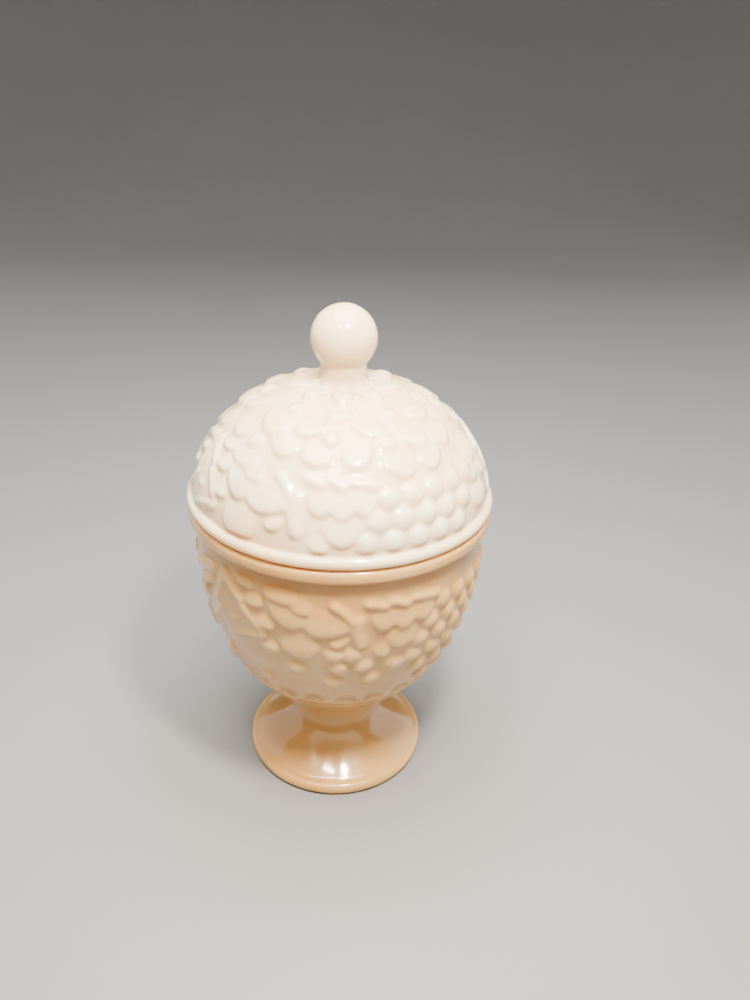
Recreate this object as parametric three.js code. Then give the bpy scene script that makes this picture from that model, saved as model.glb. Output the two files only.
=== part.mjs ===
// A footed cosmetic cream jar in pressed opal glass, with a domed glass lid that lifts off its rim.
// Millimetres, +Z up, origin on the table under the middle of the foot.
import * as THREE from "three";

// ---- Driving sizes --------------------------------------------------------------------------
const rimRadius = 37.5; // the jar's rim band and the lid's bead, outside
const jarHeight = 79.6; // table to the flat top of the rim
const wall = 3.1; // glass at the mouth
const seatGap = 0.3; // between the jar's rim and the lid over it

const footRadius = 24.5; // widest circle of the foot
const footEdgeHeight = 3.3; // table to where the flare starts
const contactWidth = 4.1; // flat ring that stands on the table
const contactInset = 1.9; // from the widest circle to that ring
const recessDepth = 4; // hollow under the foot
const stemRadius = 10.6;
const stemBottom = 13.5; // height where the flare turns into the stem
const flareSpread = 5.8; // the flare's curve: how far it is pulled out from the stem,
const flareLift = 4.4; // up from the foot's edge as it sets off,
const flareSettle = 6.2; // and up the stem as it comes in

const bandProud = 1.9; // how far the rim band stands out of the bowl
const bowlWidestDrop = 10.6; // from the rim's top down to the bowl's widest circle
const bowlBottom = 17.5; // where the bowl's ellipse would reach the axis
const bowlFloor = 22.5; // inside, on the axis
const calyxRadius = 13; // circle where the stem's fillet meets the bowl

const bandHeight = 3.3; // the rim band
const bandRound = 1.2;
const bandFillet = 0.4; // under the band
const lipRound = 0.7;

const plugDepth = 6.4; // how far the lid's plug reaches into the mouth
const plugWall = 2.6;
const plugLip = 0.7; // the bead at the plug's foot that keeps the seal ring on
const plugLipHeight = 1.4;
const beadHeight = 2.9; // the lid's bead
const beadProud = 1.7; // how far the bead stands out of the dome
const beadFillet = 0.7; // where the dome rises from the bead
const domeHeight = 28.1; // seat to the dome's crown
const crownGlass = 5.3; // glass between the lid's hollow and the crown
const domeLean = 1.3; // how far in the dome's side leans before its shoulder
const sideFullness = 0.52; // how full the dome's side, its crown and its hollow are
const crownFullness = 0.63;
const hollowFullness = 0.6;

const knobRadius = 7.7;
const knobRise = 11; // crown to the knob's centre
const neckRadius = 5.4;
const neckFlare = 2.8; // how far the neck spreads where it meets the crown
const crownDip = 0.25; // from the crown to where the neck's flare ends

const finLength = 0.6; // the seal ring's soft fins
const finThickness = 0.6;
const finCount = 3;
const finClearance = 0.25; // fin tip to the jar's mouth
const ringWall = 0.85;
const ringPlay = 0.3; // seal ring to the lid, on every side

const roundSegments = 48;

// ---- Sizes that follow ----------------------------------------------------------------------
const bowlRadius = rimRadius - bandProud;
const bowlWidestHeight = jarHeight - bowlWidestDrop;
const domeRadius = rimRadius - beadProud;
const knobCentreHeight = domeHeight + knobRise; // above the seat
const mouthRadius = bowlRadius - wall;
const finRadius = mouthRadius - finClearance;
const ringOuterRadius = finRadius - finLength;
const ringInnerRadius = ringOuterRadius - ringWall;
const plugRadius = ringInnerRadius - ringPlay;

// ---- Outlines -------------------------------------------------------------------------------
// An outline runs anticlockwise in (radius, height), with the glass on its left.
const at = (radius, height) => new THREE.Vector2(radius, height);
const line = (from, to) => [new THREE.LineCurve(from, to), 1];
const round = (from, corner, to, steps = 4) => [new THREE.QuadraticBezierCurve(from, corner, to), steps];
const sweep = (from, lead, arrive, to, steps) => [new THREE.CubicBezierCurve(from, lead, arrive, to), steps];
const ellipse = (centre, radius, height, start, end, steps) => {
  const curve = new THREE.EllipseCurve(centre.x, centre.y, radius, height, start, end, end < start);
  return [curve, steps];
};

// Turns an outline made of [curve, steps] pairs about the Z axis.
function turned(name, outline, material) {
  const points = outline.flatMap(([curve, steps], i) => curve.getPoints(steps).slice(i ? 1 : 0));
  const geometry = new THREE.LatheGeometry(points, roundSegments).rotateX(Math.PI / 2);
  const mesh = new THREE.Mesh(geometry, material);
  mesh.name = name;
  return mesh;
}

// ---- Materials ------------------------------------------------------------------------------
const opalGlass = new THREE.MeshStandardMaterial({ color: 0xf1e6d6, roughness: 0.12, metalness: 0 });
const sealPlastic = new THREE.MeshStandardMaterial({ color: 0xe4e6e2, roughness: 0.45, metalness: 0 });

// ---- Jar: foot, stem, bowl and rim are one pressing -------------------------------------------
function jarBody() {
  const contactOuter = footRadius - contactInset;
  const contactInner = contactOuter - contactWidth;
  const edgeMiddle = footEdgeHeight / 2;
  const flareStart = at(contactOuter, footEdgeHeight);
  const bowlDepth = bowlWidestHeight - bowlBottom;
  const calyx = Math.sqrt(1 - (calyxRadius / bowlRadius) ** 2);
  const calyxPoint = at(calyxRadius, bowlWidestHeight - bowlDepth * calyx);
  const calyxSlope = (bowlDepth / bowlRadius) * (calyxRadius / bowlRadius / calyx);
  const filletCorner = at(stemRadius, calyxPoint.y - calyxSlope * (calyxRadius - stemRadius));
  const filletStart = at(stemRadius, filletCorner.y - (calyxRadius - stemRadius));
  const bandFoot = jarHeight - bandHeight;
  const lipFoot = jarHeight - lipRound;
  const flatOuter = rimRadius - lipRound;
  const flatInner = mouthRadius + lipRound;
  const underBand = at(bowlRadius, bandFoot - bandFillet);
  return turned("jar_body", [
    round(at(0, recessDepth), at(contactInner - recessDepth * 1.6, recessDepth), at(contactInner, 0), 7),
    line(at(contactInner, 0), at(contactOuter, 0)),
    round(at(contactOuter, 0), at(footRadius, 0), at(footRadius, edgeMiddle)),
    round(at(footRadius, edgeMiddle), at(footRadius, footEdgeHeight), flareStart),
    sweep(flareStart, at(stemRadius + flareSpread, footEdgeHeight + flareLift),
      at(stemRadius, footEdgeHeight + flareSettle), at(stemRadius, stemBottom), 9),
    line(at(stemRadius, stemBottom), filletStart),
    round(filletStart, filletCorner, calyxPoint),
    ellipse(at(0, bowlWidestHeight), bowlRadius, bowlDepth, -Math.asin(calyx), 0, 15),
    line(at(bowlRadius, bowlWidestHeight), underBand),
    round(underBand, at(bowlRadius, bandFoot), at(rimRadius - bandRound, bandFoot), 2),
    round(at(rimRadius - bandRound, bandFoot), at(rimRadius, bandFoot), at(rimRadius, bandFoot + bandRound)),
    line(at(rimRadius, bandFoot + bandRound), at(rimRadius, lipFoot)),
    round(at(rimRadius, lipFoot), at(rimRadius, jarHeight), at(flatOuter, jarHeight), 2),
    line(at(flatOuter, jarHeight), at(flatInner, jarHeight)),
    round(at(flatInner, jarHeight), at(mouthRadius, jarHeight), at(mouthRadius, lipFoot), 2),
    line(at(mouthRadius, lipFoot), at(mouthRadius, bowlWidestHeight)),
    ellipse(at(0, bowlWidestHeight), mouthRadius, bowlWidestHeight - bowlFloor, 0, -Math.PI / 2, 14),
  ], opalGlass);
}

// ---- Lid: plug, bead, dome and knob are one pressing, with its seat at height 0 -----------------
function lid() {
  const hollowRadius = plugRadius - plugWall;
  const hollowTop = domeHeight - crownGlass;
  const lipTop = -plugDepth + plugLipHeight;
  const lipRadius = plugRadius + plugLip;
  const knobSpread = Math.acos(neckRadius / knobRadius);
  const beadRound = beadHeight / 2;
  const domeFoot = at(domeRadius, beadHeight + beadFillet);
  const crown = at(neckRadius + neckFlare, domeHeight - crownDip);
  const knobLow = at(neckRadius, knobCentreHeight - knobRadius * Math.sin(knobSpread));
  const neckLow = at(neckRadius, domeHeight + neckFlare);
  return turned("lid", [
    sweep(at(0, hollowTop), at(hollowRadius * hollowFullness, hollowTop),
      at(hollowRadius, hollowTop * hollowFullness), at(hollowRadius, 0), 11),
    line(at(hollowRadius, 0), at(hollowRadius, -plugDepth)),
    line(at(hollowRadius, -plugDepth), at(plugRadius, -plugDepth)),
    round(at(plugRadius, -plugDepth), at(lipRadius, -plugDepth), at(lipRadius, lipTop - plugLip)),
    line(at(lipRadius, lipTop - plugLip), at(plugRadius, lipTop)),
    line(at(plugRadius, lipTop), at(plugRadius, 0)),
    line(at(plugRadius, 0), at(rimRadius - beadRound, 0)),
    ellipse(at(rimRadius - beadRound, beadRound), beadRound, beadRound, -Math.PI / 2, Math.PI / 2, 8),
    round(at(rimRadius - beadRound, beadHeight), at(domeRadius, beadHeight), domeFoot, 2),
    sweep(domeFoot, at(domeRadius - domeLean, domeHeight * sideFullness),
      at(domeRadius * crownFullness, domeHeight), crown, 14),
    round(crown, at(neckRadius, domeHeight), neckLow),
    line(neckLow, knobLow),
    ellipse(at(0, knobCentreHeight), knobRadius, knobRadius, -knobSpread, Math.PI / 2, 14),
  ], opalGlass);
}

// ---- Seal ring: soft plastic, round the lid's plug, measured from the lid's seat ----------------
function sealRing() {
  const top = -ringPlay;
  const bottom = -plugDepth + plugLipHeight + ringPlay;
  const pitch = (top - bottom) / finCount;
  const fins = Array.from({ length: finCount }, (_, i) => {
    const middle = bottom + pitch * (i + 0.5);
    return [
      at(ringOuterRadius, middle - finThickness / 2),
      at(finRadius, middle),
      at(ringOuterRadius, middle + finThickness / 2),
    ];
  }).flat();
  const corners = [
    at(ringInnerRadius, bottom),
    at(ringOuterRadius, bottom),
    ...fins,
    at(ringOuterRadius, top),
    at(ringInnerRadius, top),
    at(ringInnerRadius, bottom),
  ];
  const outline = corners.slice(1).map((corner, i) => line(corners[i], corner));
  return turned("seal_ring", outline, sealPlastic);
}

// ---- Assembly ---------------------------------------------------------------------------------
const jar = new THREE.Group();
const closure = new THREE.Group(); // everything that lifts off together
closure.position.z = jarHeight + seatGap;
closure.add(sealRing(), lid());
jar.add(jarBody(), closure);

export default jar;
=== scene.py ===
import math

import bmesh
import bpy
import numpy as np
from mathutils import Matrix, Vector


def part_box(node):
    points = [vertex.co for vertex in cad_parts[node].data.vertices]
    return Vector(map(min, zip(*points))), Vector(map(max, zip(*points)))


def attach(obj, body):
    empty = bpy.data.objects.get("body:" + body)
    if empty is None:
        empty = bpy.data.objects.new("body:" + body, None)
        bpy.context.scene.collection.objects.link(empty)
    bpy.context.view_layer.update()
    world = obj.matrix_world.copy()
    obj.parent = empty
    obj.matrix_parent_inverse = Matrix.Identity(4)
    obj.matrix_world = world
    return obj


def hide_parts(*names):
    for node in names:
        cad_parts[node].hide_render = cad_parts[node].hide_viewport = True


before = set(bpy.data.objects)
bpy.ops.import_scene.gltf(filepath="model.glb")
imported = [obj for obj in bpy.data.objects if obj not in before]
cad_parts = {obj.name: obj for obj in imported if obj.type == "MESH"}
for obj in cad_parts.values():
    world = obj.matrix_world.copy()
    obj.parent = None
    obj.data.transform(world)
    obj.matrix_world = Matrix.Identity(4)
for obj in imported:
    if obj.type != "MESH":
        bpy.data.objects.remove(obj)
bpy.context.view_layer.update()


# ---------------------------------------------------------------------------------------------
# The jar. Foot, stem, bowl and rim are one pressing of opaque milk glass, made with a plunger in
# a carved mould, with vine leaves and grapes a millimetre proud below a plain rim. The colour is
# deeper and more orange than the lid's, though both are one glass: it is painted warm shade, as
# the jar stands in shade under the lid.
# ---------------------------------------------------------------------------------------------
mm = 0.001


class Outline:
    """Half a section of a turned piece, in radius and height, with the material on its left."""

    def __init__(self, radius, height):
        self.points = [Vector((radius, height))]

    def reach(self):
        """How far along the outline its last point lies."""
        return sum((b - a).length for a, b in zip(self.points, self.points[1:]))

    def line(self, radius, height, steps=1):
        """A straight stretch."""
        start = self.points[-1].copy()
        end = Vector((radius, height))
        self.points += [start.lerp(end, i / steps) for i in range(1, steps + 1)]

    def sweep(self, lead, arrive, end, steps):
        """A smooth curve to end, which sets off towards lead and comes in from arrive."""
        start = self.points[-1].copy()
        lead, arrive, end = Vector(lead), Vector(arrive), Vector(end)
        for i in range(1, steps + 1):
            t = i / steps
            s = 1 - t
            self.points.append(s**3 * start + 3 * s * s * t * lead + 3 * s * t * t * arrive + t**3 * end)

    def round(self, corner, end, steps=5):
        """A rounded corner."""
        start, corner, end = self.points[-1].copy(), Vector(corner), Vector(end)
        self.sweep(start.lerp(corner, 0.6), end.lerp(corner, 0.6), end, steps)

    def arc(self, centre, radii, first, last, steps):
        """Part of an ellipse, between two angles in degrees from straight out."""
        for i in range(1, steps + 1):
            angle = math.radians(first + (last - first) * i / steps)
            self.points.append(Vector((centre[0] + radii[0] * math.cos(angle),
                                       centre[1] + radii[1] * math.sin(angle))))

    def turned(self, name, sides):
        """The outline spun into a closed solid. Each point keeps how far along the outline it is."""
        bm = bmesh.new()
        reach = bm.verts.layers.float.new("reach")
        verts = []
        travelled = 0.0
        for i, point in enumerate(self.points):
            travelled += (point - self.points[i - 1]).length if i else 0.0
            verts.append(bm.verts.new((0, -max(point.x, 0.0), point.y)))
            verts[-1][reach] = travelled
        edges = [bm.edges.new(pair) for pair in zip(verts, verts[1:])]
        bmesh.ops.spin(bm, geom=verts + edges, cent=(0, 0, 0), axis=(0, 0, 1),
                       angle=math.tau, steps=sides, use_merge=True)
        bmesh.ops.remove_doubles(bm, verts=bm.verts, dist=0.001 * mm)
        bmesh.ops.recalc_face_normals(bm, faces=bm.faces)
        for face in bm.faces:
            face.smooth = True
        mesh = bpy.data.meshes.new(name)
        bm.to_mesh(mesh)
        bm.free()
        piece = bpy.data.objects.new(name, mesh)
        bpy.context.scene.collection.objects.link(piece)
        return piece


def smoothstep(low, high, value):
    """0 at low, 1 at high, and a smooth change between them."""
    t = np.clip((value - low) / (high - low), 0, 1)
    return t * t * (3 - 2 * t)


class Relief:
    """Shapes that stand proud of a turned piece between two points of its outline. A place is an
    angle in degrees, from the front to the right, and a distance up the outline in millimetres.
    The pattern comes round again every so many degrees."""

    def __init__(self, piece, outline, first, last, repeat, sides):
        self.mesh, self.repeat, self.sides = piece.data, repeat, sides
        place = np.empty(len(self.mesh.vertices) * 3)
        self.mesh.vertices.foreach_get("co", place)
        self.place = place.reshape(-1, 3)
        travelled = np.empty(len(self.place), dtype=np.float32)
        self.mesh.attributes["reach"].data.foreach_get("value", travelled)
        self.inside = np.where((travelled > first - 0.01 * mm) & (travelled < last + 0.01 * mm))[0]
        spot, travelled = self.place[self.inside], travelled[self.inside]
        self.angle = np.degrees(np.arctan2(spot[:, 0], -spot[:, 1]))
        self.radius = np.hypot(spot[:, 0], spot[:, 1]) / mm
        self.up = (travelled - first) / mm
        self.length = (last - first) / mm
        self.height = np.zeros(len(self.inside))

        line = np.array([point[:] for point in outline.points])
        steps = np.diff(line, axis=0)
        lengths = np.hypot(steps[:, 0], steps[:, 1])
        ends = np.concatenate([[0.0], np.cumsum(lengths)])
        self.line_up, self.line = (ends - first) / mm, line / mm
        normals = np.stack([steps[:, 1], -steps[:, 0]], axis=1) / lengths[:, None]
        out = np.stack([np.interp(travelled, ends[1:] - lengths / 2, normals[:, k]) for k in (0, 1)], axis=1)
        out /= np.hypot(out[:, 0], out[:, 1])[:, None]
        turn = np.radians(self.angle)
        self.normal = np.stack([out[:, 0] * np.sin(turn), -out[:, 0] * np.cos(turn), out[:, 1]], axis=1)

    def radius_at(self, up):
        return float(np.interp(up, self.line_up, self.line[:, 0]))

    def seen_from(self, angle, up, lean=0.0):
        """Every point's distance across and along a shape, which leans clockwise by so many degrees."""
        around = (self.angle - angle + self.repeat / 2) % self.repeat - self.repeat / 2
        across = np.radians(around) * self.radius
        rise = self.up - up
        c, s = math.cos(math.radians(lean)), math.sin(math.radians(lean))
        return across * c - rise * s, across * s + rise * c

    def stand(self, shape):
        """Adds a shape, where it stands higher than what is there."""
        self.height = np.maximum(self.height, shape)

    def grape(self, angle, up, width=5.4, height=5.2, proud=1.15):
        """A round berry with a steep edge."""
        across, along = self.seen_from(angle, up)
        inside = 1 - (across / (width / 2)) ** 2 - (along / (height / 2)) ** 2
        self.stand(proud * np.clip(inside, 0, 1) ** 0.68)

    def lobe(self, angle, up, length, width, lean, proud=1.0, tuck=0.7):
        """A lobe of a leaf: an oval that narrows towards its tip. It is proudest at its lower edge
        and tucks in under the lobe above."""
        across, along = self.seen_from(angle, up, lean)
        across, along = across / (width / 2), along / (length / 2)
        rim = np.hypot(across * (1 + 0.22 * np.clip(along, -1, 1.2)), along)
        higher = along * math.cos(math.radians(lean)) - across * math.sin(math.radians(lean))
        crown = 1 - tuck * smoothstep(-0.6, 0.9, higher)
        self.stand(proud * crown * (1 - smoothstep(0.74, 1.0, rim)))

    def leaf(self, angle, up, lean, size):
        """A vine leaf: five lobes fanned out round the end of its stalk."""
        for turn, share in ((0, 1.0), (62, 0.9), (-62, 0.9), (124, 0.72), (-124, 0.72)):
            way = math.radians(lean + turn)
            out = 0.5 * size * share
            beside = math.degrees(out * math.sin(way) / self.radius_at(up))
            self.lobe(angle + beside, up + out * math.cos(way), size * share, 0.6 * size, lean + turn)

    def ridge(self, spots, width, proud, fade=0.0):
        """A rounded ridge along a few spots, such as a stem or a tendril."""
        nearest = np.full(len(self.height), 1e9)
        share = np.zeros(len(self.height))
        for i, (start, end) in enumerate(zip(spots, spots[1:])):
            across, along = self.seen_from(*start)
            run_across = np.radians(end[0] - start[0]) * self.radius
            run_along = end[1] - start[1]
            t = np.clip((across * run_across + along * run_along) / (run_across**2 + run_along**2), 0, 1)
            away = np.hypot(across - t * run_across, along - t * run_along)
            share = np.where(away < nearest, (i + t) / (len(spots) - 1), share)
            nearest = np.minimum(nearest, away)
        self.stand(proud * (1 - fade * share) * np.clip(1 - (nearest / (width / 2)) ** 2, 0, 1) ** 0.7)

    def press(self, polish, ends):
        """Softens the shapes as a fire polish does, lets them die away over so many millimetres at
        each end, moves the surface, and keeps how far each point stood."""
        rows, row = np.unique(np.round(self.up, 3), return_inverse=True)
        column = np.round(self.angle / 360 * self.sides).astype(int) % self.sides
        sheet = np.zeros((len(rows), self.sides))
        sheet[row, column] = self.height
        for _ in range(polish):
            sheet = (np.roll(sheet, 1, 1) + 2 * sheet + np.roll(sheet, -1, 1)) / 4
            tall = np.concatenate([sheet[:1], sheet, sheet[-1:]])
            sheet = (tall[:-2] + 2 * sheet + tall[2:]) / 4
        fade = smoothstep(0, ends, self.up) * smoothstep(self.length, self.length - ends, self.up)
        self.height = sheet[row, column] * fade
        self.place[self.inside] += self.normal * self.height[:, None] * mm
        self.mesh.vertices.foreach_set("co", self.place.ravel())
        stood = np.zeros(len(self.place), dtype=np.float32)
        stood[self.inside] = self.height
        self.mesh.attributes.new("relief", "FLOAT", "POINT").data.foreach_set("value", stood)
        self.mesh.update()


jar_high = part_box("jar_body")[1]
rim_radius = jar_high[0]
rim_height = jar_high[2]
foot_radius = 24.5 * mm
foot_edge = 3.3 * mm
contact_inset = 1.9 * mm
contact_width = 4.1 * mm
contact_outer = foot_radius - contact_inset
contact_inner = contact_outer - contact_width
contact_round = 0.7 * mm
foot_hollow = 4.0 * mm
foot_edge_depth = 1.7 * mm
flare_spread, flare_lift, flare_settle = 5.8 * mm, 4.4 * mm, 6.2 * mm
stem_radius = 10.6 * mm
stem_height = 13.5 * mm
stem_top_drop = 3.6 * mm
stem_corner_drop = 1.2 * mm
bowl_radius = 35.6 * mm
bowl_widest = 69.0 * mm
bowl_depth = 51.5 * mm
calyx_radius = 13.0 * mm
wall = 3.1 * mm
bowl_floor = 22.5 * mm
mouth_radius = bowl_radius - wall
mouth_depth = bowl_widest - bowl_floor
band_height = 3.3 * mm
band_round = 1.2 * mm
lip_round = 0.7 * mm
glass_sides = 450


def bowl_angle(radius):
    """Where on the bowl's ellipse it has this radius, in degrees below its widest circle."""
    return -math.degrees(math.acos(radius / bowl_radius))


calyx_height = bowl_widest + bowl_depth * math.sin(math.radians(bowl_angle(calyx_radius)))
relief_foot = 26.5 * mm
relief_top_angle = 7.2
band_foot = rim_height - band_height
band_fillet = 0.4 * mm
band_step = 0.5 * mm

jar = Outline(0, foot_hollow)
jar.round((contact_inner * 0.75, foot_hollow), (contact_inner, 0.5 * mm), 10)
jar.round((contact_inner + 0.1 * mm, 0), (contact_inner + contact_round, 0), 3)
jar.line(contact_outer, 0, 2)
jar.round((foot_radius, 0), (foot_radius, foot_edge / 2), 5)
jar.round((foot_radius, foot_edge), (foot_radius - foot_edge_depth, foot_edge), 5)
jar.sweep((stem_radius + flare_spread, foot_edge + flare_lift), (stem_radius, foot_edge + flare_settle),
          (stem_radius, stem_height), 16)
jar.line(stem_radius, calyx_height - stem_top_drop, 2)
jar.round((stem_radius, calyx_height - stem_corner_drop), (calyx_radius, calyx_height), 6)
jar.arc((0, bowl_widest), (bowl_radius, bowl_depth), bowl_angle(calyx_radius), bowl_angle(relief_foot), 8)
relief_start = jar.reach()
first_row = len(jar.points) - 1
jar.arc((0, bowl_widest), (bowl_radius, bowl_depth), bowl_angle(relief_foot), relief_top_angle, 96)
relief_end = jar.reach()
relief_rows = slice(first_row, len(jar.points))
shoulder_radius = jar.points[-1].x
jar.line(shoulder_radius, band_foot - band_fillet, 1)
jar.round((shoulder_radius, band_foot), (shoulder_radius + band_step, band_foot), 2)
jar.line(rim_radius - band_round, band_foot, 1)
jar.round((rim_radius, band_foot), (rim_radius, band_foot + band_round), 5)
jar.line(rim_radius, rim_height - band_round, 1)
jar.round((rim_radius, rim_height), (rim_radius - band_round, rim_height), 5)
jar.line(mouth_radius + lip_round, rim_height, 2)
jar.round((mouth_radius, rim_height), (mouth_radius, rim_height - lip_round), 4)
jar.line(mouth_radius, bowl_widest, 2)
jar.arc((0, bowl_widest), (mouth_radius, mouth_depth), 0, -90, 24)
jar.points[-1].x = 0
glass_jar = jar.turned("glass_jar", glass_sides)

bowl = Relief(glass_jar, jar, relief_start, relief_end, 180, glass_sides)


def up_at(height):
    """How far up the bowl's relief a height above the table is, both in millimetres."""
    return float(np.interp(height, bowl.line[:, 1][relief_rows], bowl.line_up[relief_rows]))


# A smooth calyx below, whose scalloped edge casts a shadow, and a rib between each two scallops.
scallop = 360 / 24
rib_angle = 11.5
scallop_height, scallop_rise, scallop_proud = 35.0, 2.4, 0.7
phase = ((bowl.angle - rib_angle) / scallop) % 1
arch = up_at(scallop_height) + scallop_rise * np.sin(np.pi * phase) ** 0.7
bowl.stand(scallop_proud * smoothstep(0.5, -0.5, bowl.up - arch))
for i in range(int(bowl.repeat / scallop)):
    rib = rib_angle + i * scallop
    bowl.ridge([(rib, up_at(33)), (rib, up_at(45))], 2.6, 0.75, fade=1.0)

# A vine: the folds and stems of its leaves with their widths, the leaves' lobes (angle, height,
# length, width, lean), a bunch that tapers downwards (each row's height, first grape and number of
# grapes), and loose grapes. Angles are in degrees from the front, the rest in millimetres.
vine_folds = (
    (((-51, 63.0), (-48.5, 68.0), (-46.3, 71.2), (-42.5, 68.6), (-38, 66.4)), 3.0),
    (((-37.4, 64.8), (-30.0, 60.3)), 2.8), (((-48.6, 61.6), (-57.5, 55.2)), 2.8),
    (((-47.0, 54.0), (-39.0, 56.6), (-29.0, 58.4)), 2.6),
    (((-70.0, 66.8), (-62.0, 69.2), (-54.0, 70.2)), 3.2),
    (((-69.0, 60.5), (-63.0, 64.8), (-56.0, 66.6)), 3.2), (((-74.0, 56.0), (-62.0, 61.5)), 3.2),
    (((7.4, 66.0), (6.6, 62.5), (8.4, 59.0)), 3.4), (((-1.4, 69.9), (2.0, 68.2), (5.4, 65.6)), 2.6),
    (((10.6, 70.3), (17.0, 69.3)), 2.6), (((19.5, 70.4), (25.0, 69.0)), 2.6),
    (((28.0, 70.0), (38.0, 69.0)), 2.6),
)
vine_lobes = (
    (-21.0, 71.2, 5.0, 9.4, 6), (-13.4, 69.2, 6.4, 5.0, 130), (-19.4, 66.6, 11.6, 7.4, -52),
    (-3.8, 64.8, 13.0, 8.0, 90), (-14.6, 58.0, 10.2, 9.0, -96), (0.4, 60.0, 5.0, 3.6, 60),
    (16.8, 65.8, 7.4, 6.8, 190), (24.6, 65.2, 7.4, 6.6, 180), (32.4, 66.0, 7.2, 6.8, 168),
    (24.6, 59.6, 7.6, 8.4, 180), (-35.8, 72.0, 3.6, 6.2, 0), (-31.8, 68.0, 4.6, 5.0, 0),
    (-26.8, 62.6, 4.2, 4.6, 0), (-41.6, 61.2, 4.0, 4.2, 0), (17.0, 56.4, 5.0, 4.4, 160),
)
bunch_rows = (
    (66.3, 42.0, 5), (61.6, 37.0, 5), (57.0, 33.2, 5), (52.0, 31.6, 4), (46.9, 36.4, 3), (42.2, 42.0, 2),
)
grape_pitch = 5.9
bowl.lobe(-42, up_at(61), 17.0, 14.0, 75, 0.6, tuck=0.3)
for spots, width in vine_folds:
    bowl.ridge([(angle, up_at(height)) for angle, height in spots], width, 1.0)
for angle, height, length, width, lean in vine_lobes:
    bowl.lobe(angle, up_at(height), length, width, lean, 0.9)
bowl.leaf(-76, up_at(50.5), 160, 5.8)
for height, first, count in bunch_rows:
    for i in range(count):
        bowl.grape(first + i * math.degrees(grape_pitch / bowl.radius_at(up_at(height))), up_at(height))
for angle, height in ((-1.2, 55.4), (6.0, 55.6), (0.5, 51.2), (9.8, 51.6), (23.8, 50.8), (-1.6, 45.9),
                      (14.0, 46.6), (-16.6, 50.1), (-26.0, 55.0), (-33.0, 43.9), (-53.0, 46.5),
                      (-84.0, 66.0), (-62.0, 40.5)):
    bowl.grape(angle, up_at(height), 5.0, 4.8, 1.05)

# A groove along the scallops' edge.
bowl.height -= 0.45 * np.sin(np.pi * phase) ** 2 * np.exp(-(((bowl.up - arch - 1.0) / 0.7) ** 2))
bowl.press(polish=1, ends=1.5)


class Wire:
    """A shader socket that can be used in a sum, so that arithmetic on it adds the nodes."""

    def __init__(self, nodes, socket):
        self.nodes, self.socket = nodes, socket

    def maths(self, operation, *values):
        return self.nodes.add("ShaderNodeMath", {"operation": operation}, dict(enumerate(values)))

    def __add__(self, other):
        return self.maths("ADD", self, other)

    def __mul__(self, other):
        return self.maths("MULTIPLY", self, other)

    def between(self, low, high):
        """0 up to low, 1 from high, and a smooth rise between them."""
        return self.nodes.add("ShaderNodeMapRange", {"interpolation_type": "SMOOTHSTEP"},
                              {"Value": self, "From Min": low, "From Max": high})

    def blend(self, first, second):
        """The first colour where this is 0, the second where it is 1."""
        return self.nodes.add("ShaderNodeMix", {"data_type": "RGBA"}, {0: self, 6: first, 7: second}, 2)


class Finish:
    """A material with one glossy surface, whose sockets take numbers, colours or wires."""

    def __init__(self, name):
        self.material = bpy.data.materials.new(name)
        self.material.use_nodes = True
        self.tree = self.material.node_tree
        self.surface = self.tree.nodes["Principled BSDF"]
        self.place = self.add("ShaderNodeTexCoord", {}, {}, "Object")

    def add(self, kind, settings, inputs, output=0):
        node = self.tree.nodes.new(kind)
        for setting, value in settings.items():
            setattr(node, setting, value)
        self.feed(node, inputs)
        return Wire(self, node.outputs[output])

    def feed(self, node, inputs):
        for name, value in inputs.items():
            if isinstance(value, Wire):
                self.tree.links.new(value.socket, node.inputs[name])
            else:
                node.inputs[name].default_value = value

    def noise(self, scale, detail=3.0):
        return self.add("ShaderNodeTexNoise", {},
                        {"Vector": self.place, "Scale": scale, "Detail": detail, "Roughness": 0.55})

    def attribute(self, name):
        return self.add("ShaderNodeAttribute", {"attribute_name": name}, {}, "Fac")

    def bump(self, height, distance, strength):
        return self.add("ShaderNodeBump", {}, {"Height": height, "Distance": distance, "Strength": strength})

    def set(self, **inputs):
        self.feed(self.surface, {name.replace("_", " "): value for name, value in inputs.items()})


def milk_glass(name, cream, white, depth):
    """Opaque glass: milky and faintly cloudy under a hard gloss, painted paler where it is raised and darker
    in the hollows between: painted shade in the relief.
    """
    finish = Finish(name)
    cloud = finish.noise(38.0, 4.0).between(0.35, 0.7)
    fine = finish.noise(420.0, 2.0)
    raised = finish.attribute("relief").between(0.05, 1.1)
    # Painted shade: the colour is paler on the raised relief and darker in its hollows.
    colour = (cloud * 0.6 + raised * 0.25 + 0.1).blend(cream, white)
    wear = (raised * 0.05 + cloud * 0.05) + fine * 0.03
    finish.set(Base_Color=colour, Roughness=wear + 0.07,
               Normal=finish.bump(finish.noise(95.0, 2.0) + fine * 0.12, 0.12 * mm, 0.5),
               Subsurface_Weight=0.85, Subsurface_Radius=(1.0, 0.66, 0.42), Subsurface_Scale=depth,
               IOR=1.5, Coat_Weight=0.25, Coat_Roughness=0.03)
    return finish.material


# Painted warm shade: the jar's colours are deeper and more orange than the lid's, though both are one glass.
glass_jar.data.materials.append(
    milk_glass("jar_glass", (0.66, 0.35, 0.1, 1), (0.78, 0.51, 0.21, 1), 2.5 * mm))
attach(glass_jar, "jar")
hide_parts("jar_body")


# ---------------------------------------------------------------------------------------------
# The seal ring. A natural polyethylene moulding with soft fins, stretched over the bead at the
# foot of the lid's plug, so that the loose glass lid closes the jar.
# ---------------------------------------------------------------------------------------------
ring_low, ring_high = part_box("seal_ring")
fin_radius = ring_high[0]
fin_length = 0.6 * mm
ring_wall = 0.85 * mm
ring_outer = fin_radius - fin_length
ring_inner = ring_outer - ring_wall
fin_count = 3
fin_half = 0.3 * mm
ring_edge = 0.12 * mm
fin_pitch = (ring_high[2] - ring_low[2]) / fin_count

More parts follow.
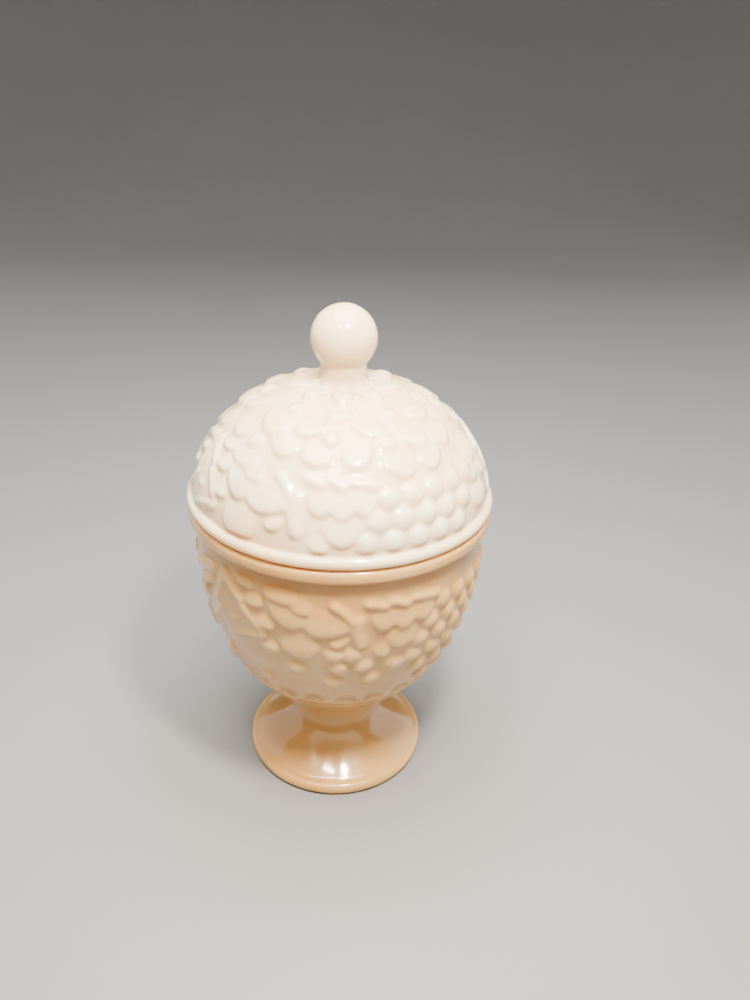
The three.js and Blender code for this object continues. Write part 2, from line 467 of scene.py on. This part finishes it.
ring = Outline(ring_inner + ring_edge, ring_low[2])
ring.line(ring_outer - ring_edge, ring_low[2], 1)
ring.round((ring_outer, ring_low[2]), (ring_outer, ring_low[2] + ring_edge), 3)
for i in range(fin_count):
    middle = ring_low[2] + fin_pitch * (i + 0.5)
    ring.line(ring_outer, middle - fin_half, 1)
    ring.sweep((ring_outer + 0.2 * mm, middle - fin_half * 0.5), (fin_radius, middle - fin_half * 0.4),
               (fin_radius, middle), 4)
    ring.sweep((fin_radius, middle + fin_half * 0.5), (ring_outer + 0.2 * mm, middle + fin_half * 0.7),
               (ring_outer, middle + fin_half), 4)
ring.line(ring_outer, ring_high[2] - ring_edge, 1)
ring.round((ring_outer, ring_high[2]), (ring_outer - ring_edge, ring_high[2]), 3)
ring.line(ring_inner + ring_edge, ring_high[2], 1)
ring.round((ring_inner, ring_high[2]), (ring_inner, ring_high[2] - ring_edge), 3)
ring.line(ring_inner, ring_low[2] + ring_edge, 1)
ring.round((ring_inner, ring_low[2]), (ring_inner + ring_edge, ring_low[2]), 3)
finned_seal = ring.turned("finned_seal", 192)

plastic = Finish("seal_plastic")
haze = plastic.noise(160.0, 3.0).between(0.3, 0.75)
plastic.set(Base_Color=haze.blend((0.62, 0.64, 0.6, 1), (0.76, 0.77, 0.73, 1)),
            Roughness=haze * 0.12 + 0.34, Normal=plastic.bump(plastic.noise(900.0, 2.0), 0.03 * mm, 0.4),
            Subsurface_Weight=0.4, Subsurface_Radius=(1.0, 0.9, 0.8), Subsurface_Scale=1.0 * mm, IOR=1.51)
finned_seal.data.materials.append(plastic.material)
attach(finned_seal, "seal")
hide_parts("seal_ring")


# ---------------------------------------------------------------------------------------------
# The lid. Plug, bead, dome and ball knob are one pressing of milk glass, coloured paler than the
# jar's: painted light, as the lid stands in the full light of the lamp above. The dome is covered
# in the same vine, and nine petals surround the knob's neck.
# ---------------------------------------------------------------------------------------------
lid_low, lid_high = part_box("lid")
seat_gap = 0.12 * mm
seat = rim_height + seat_gap
plug_foot = lid_low[2]
ring_play = 0.3 * mm
plug_radius = ring_inner - ring_play
plug_wall = 2.6 * mm
plug_lip = 0.7 * mm
plug_lip_height = 1.4 * mm
hollow_radius = plug_radius - plug_wall
bead_height = 2.9 * mm
bead_radius = bead_height / 2
bead_fillet = 0.7 * mm
dome_radius = 35.8 * mm
dome_height = 28.4 * mm
dome_top = rim_height + dome_height
dome_lean = 1.3 * mm
side_fullness, crown_fullness = 0.52, 0.63
crown_dip = 0.25 * mm
crown_glass = 5.3 * mm
hollow_top = dome_top - crown_glass
hollow_fullness = 0.6
knob_radius = 7.7 * mm
knob_centre = lid_high[2] - knob_radius
neck_radius = 5.4 * mm
neck_flare = 2.8 * mm
hollow_rise = hollow_top - seat
dome_rise = dome_top - seat
knob_drop = math.degrees(math.acos(neck_radius / knob_radius))

dome = Outline(0, hollow_top)
dome.sweep((hollow_radius * hollow_fullness, hollow_top),
           (hollow_radius, seat + hollow_rise * hollow_fullness), (hollow_radius, seat), 18)
dome.line(hollow_radius, plug_foot + 0.5 * mm, 1)
dome.round((hollow_radius, plug_foot), (hollow_radius + 0.5 * mm, plug_foot), 4)
dome.line(plug_radius, plug_foot, 1)
dome.round((plug_radius + plug_lip, plug_foot), (plug_radius + plug_lip, plug_foot + 0.7 * mm), 5)
dome.line(plug_radius, plug_foot + plug_lip_height, 2)
dome.line(plug_radius, seat - 0.3 * mm, 1)
dome.round((plug_radius, seat), (plug_radius + 0.3 * mm, seat), 3)
dome.line(rim_radius - bead_radius, seat, 2)
dome.arc((rim_radius - bead_radius, seat + bead_radius), (bead_radius, bead_radius), -90, 90, 14)
dome.round((dome_radius, seat + bead_height), (dome_radius, seat + bead_height + bead_fillet), 3)
vine_start = dome.reach()
crown = (neck_radius + neck_flare, dome_top - crown_dip)
dome.sweep((dome_radius - dome_lean, seat + dome_rise * side_fullness),
           (dome_radius * crown_fullness, dome_top), crown, 98)
dome.round((neck_radius, dome_top), (neck_radius, dome_top + neck_flare), 9)
vine_end = dome.reach()
dome.line(neck_radius, knob_centre - knob_radius * math.sin(math.radians(knob_drop)), 3)
dome.arc((0, knob_centre), (knob_radius, knob_radius), -knob_drop, 90, 26)
dome.points[-1].x = 0
glass_lid = dome.turned("glass_lid", glass_sides)

# The bowl's vine again, turned to the left and cut off by the bead, with more leaves above it.
vine = Relief(glass_lid, dome, vine_start, vine_end, 180, glass_sides)
vine_turn, bead_cut = 24.0, 55.0
vine.lobe(-42 - vine_turn, 6.0, 16.0, 13.0, 75, 0.5, tuck=0.3)
for spots, width in vine_folds:
    vine.ridge([(angle - vine_turn, height - bead_cut) for angle, height in spots], width, 0.8)
for angle, height, length, width, lean in vine_lobes:
    vine.lobe(angle - vine_turn, height - bead_cut, length, width, lean, 0.75)
for height, first, count in bunch_rows[:3]:
    up = height - bead_cut
    for i in range(count):
        vine.grape(first - vine_turn + i * math.degrees(grape_pitch / vine.radius_at(up)), up, proud=1.0)
for angle, up, length, width, lean in (
    (-82, 20.0, 8.0, 6.0, 60), (-62, 22.4, 8.6, 6.4, -50), (-30, 22.0, 9.0, 6.0, -66),
    (-12, 20.4, 8.0, 5.6, 110), (8, 21.4, 9.0, 6.6, 40), (26, 18.0, 8.6, 6.4, -70),
    (44, 18.2, 8.4, 6.0, 64), (40, 24.0, 9.0, 6.4, -40), (66, 4.6, 9.0, 6.4, 84),
    (63, 11.4, 10.0, 7.0, -56), (74, 15.0, 9.4, 6.6, 48), (79, 8.6, 8.0, 6.0, 110),
    (60, 22.0, 8.8, 6.2, 50), (78, 24.4, 8.0, 5.8, -70), (-44, 26.6, 9.8, 7.0, -58),
    (-18, 27.4, 8.6, 5.8, 70), (16, 27.6, 8.4, 5.6, -64), (60, 28.6, 8.2, 5.4, 80),
    (-74, 28.2, 8.0, 5.4, 30), (-2, 31.4, 6.4, 4.6, 90),
):
    vine.lobe(angle, up, length, width, lean, 0.75)
for angle, up in ((-46, 20.4), (-88, 25.4), (-6, 25.0), (24, 23.2), (36, 30.2), (86, 30.0), (-38, 31.6)):
    vine.grape(angle, up, 4.4, 4.4, 0.8)

# Nine petals round the foot of the knob's neck.
vine.repeat = 360 / 9
vine.lobe(0, vine.length - 5.6, 8.4, 5.6, 180, 1.2, tuck=0.2)
vine.press(polish=1, ends=0.5)

# Painted light: the lid's colours are paler than the jar's, though both are one glass.
glass_lid.data.materials.append(
    milk_glass("lid_glass", (0.88, 0.61, 0.34, 1), (0.96, 0.83, 0.62, 1), 2.5 * mm))
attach(glass_lid, "lid")
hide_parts("lid")


# ---------------------------------------------------------------------------------------------
# The table, the lamps and the camera. A round dish of pale paint is both floor and backdrop. Soft
# panels hang at the ceiling, over the jar and to both sides, a warm one in front, and two small
# strips over the front put the highlights on the glass.
# ---------------------------------------------------------------------------------------------
floor_radius = 0.7
floor_bend = 0.6
wall_height = 2.4
dish = Outline(0, 0)
dish.line(floor_radius, 0, 4)
dish.arc((floor_radius, floor_bend), (floor_bend, floor_bend), -90, 0, 24)
dish.line(floor_radius + floor_bend, wall_height, 2)
backdrop = dish.turned("backdrop", 96)
paint = Finish("backdrop_paint")
mottle = paint.noise(14.0).between(0.2, 0.8)
paint.set(Base_Color=mottle.blend((0.25, 0.25, 0.25, 1), (0.258, 0.258, 0.256, 1)), Roughness=0.7)
backdrop.data.materials.append(paint.material)


def lamp(name, place, aim, width, depth, power, colour):
    """A flat panel of light that faces a point."""
    light = bpy.data.lights.new(name, "AREA")
    light.shape = "RECTANGLE"
    light.size, light.size_y = width, depth
    light.energy, light.color = power, colour
    panel = bpy.data.objects.new(name, light)
    panel.location = place
    panel.rotation_euler = (Vector(aim) - Vector(place)).to_track_quat("-Z", "Y").to_euler()
    bpy.context.scene.collection.objects.link(panel)


warm = (1.0, 0.9, 0.76)
bowl_middle = (0, 0, 0.06)
foot_front = (0, -0.02, 0.03)
lamp("ceiling_lamp", (0, 0, 1.7), (0, 0.001, 0), 1.4, 1.4, 9.0, (1.0, 0.99, 0.97))
lamp("top_lamp", (0, 0, 0.42), (0, 0.03, 0), 0.3, 0.25, 4.4, (1.0, 0.98, 0.95))
lamp("front_lamp", (0, -0.28, 0.5), (0, 0, 0.04), 0.9, 0.36, 2.4, (1.0, 0.82, 0.56))
lamp("left_lamp", (-0.6, 0.3, 0.3), bowl_middle, 0.6, 0.6, 1.6, (0.97, 0.98, 1.0))
lamp("right_lamp", (0.6, 0.3, 0.3), bowl_middle, 0.6, 0.6, 2.2, (0.98, 0.98, 1.0))
lamp("left_strip", (-0.026, -0.1, 0.235), foot_front, 0.042, 0.008, 0.2, warm)
lamp("right_strip", (0.034, -0.096, 0.24), foot_front, 0.018, 0.036, 1.2, warm)

sky = bpy.data.worlds.new("studio")
sky.use_nodes = True
sky.node_tree.nodes["Background"].inputs["Color"].default_value = (0.97, 0.98, 1.0, 1)
sky.node_tree.nodes["Background"].inputs["Strength"].default_value = 0.15
bpy.context.scene.world = sky

camera_distance = 0.1768
camera_height = 0.1705
camera_turn = math.radians(2.79)
camera_tilt = math.radians(27.73)
camera_roll = math.radians(2.50)
lens = bpy.data.cameras.new("camera")
lens.lens = 28.61
lens.clip_start = 0.01
camera = bpy.data.objects.new("camera", lens)
camera.location = (0, -camera_distance, camera_height)
camera.rotation_euler = (Matrix.Rotation(-camera_turn, 3, "Z")
                         @ Matrix.Rotation(math.pi / 2 - camera_tilt, 3, "X")
                         @ Matrix.Rotation(camera_roll, 3, "Z")).to_euler()
bpy.context.scene.collection.objects.link(camera)
bpy.context.scene.camera = camera
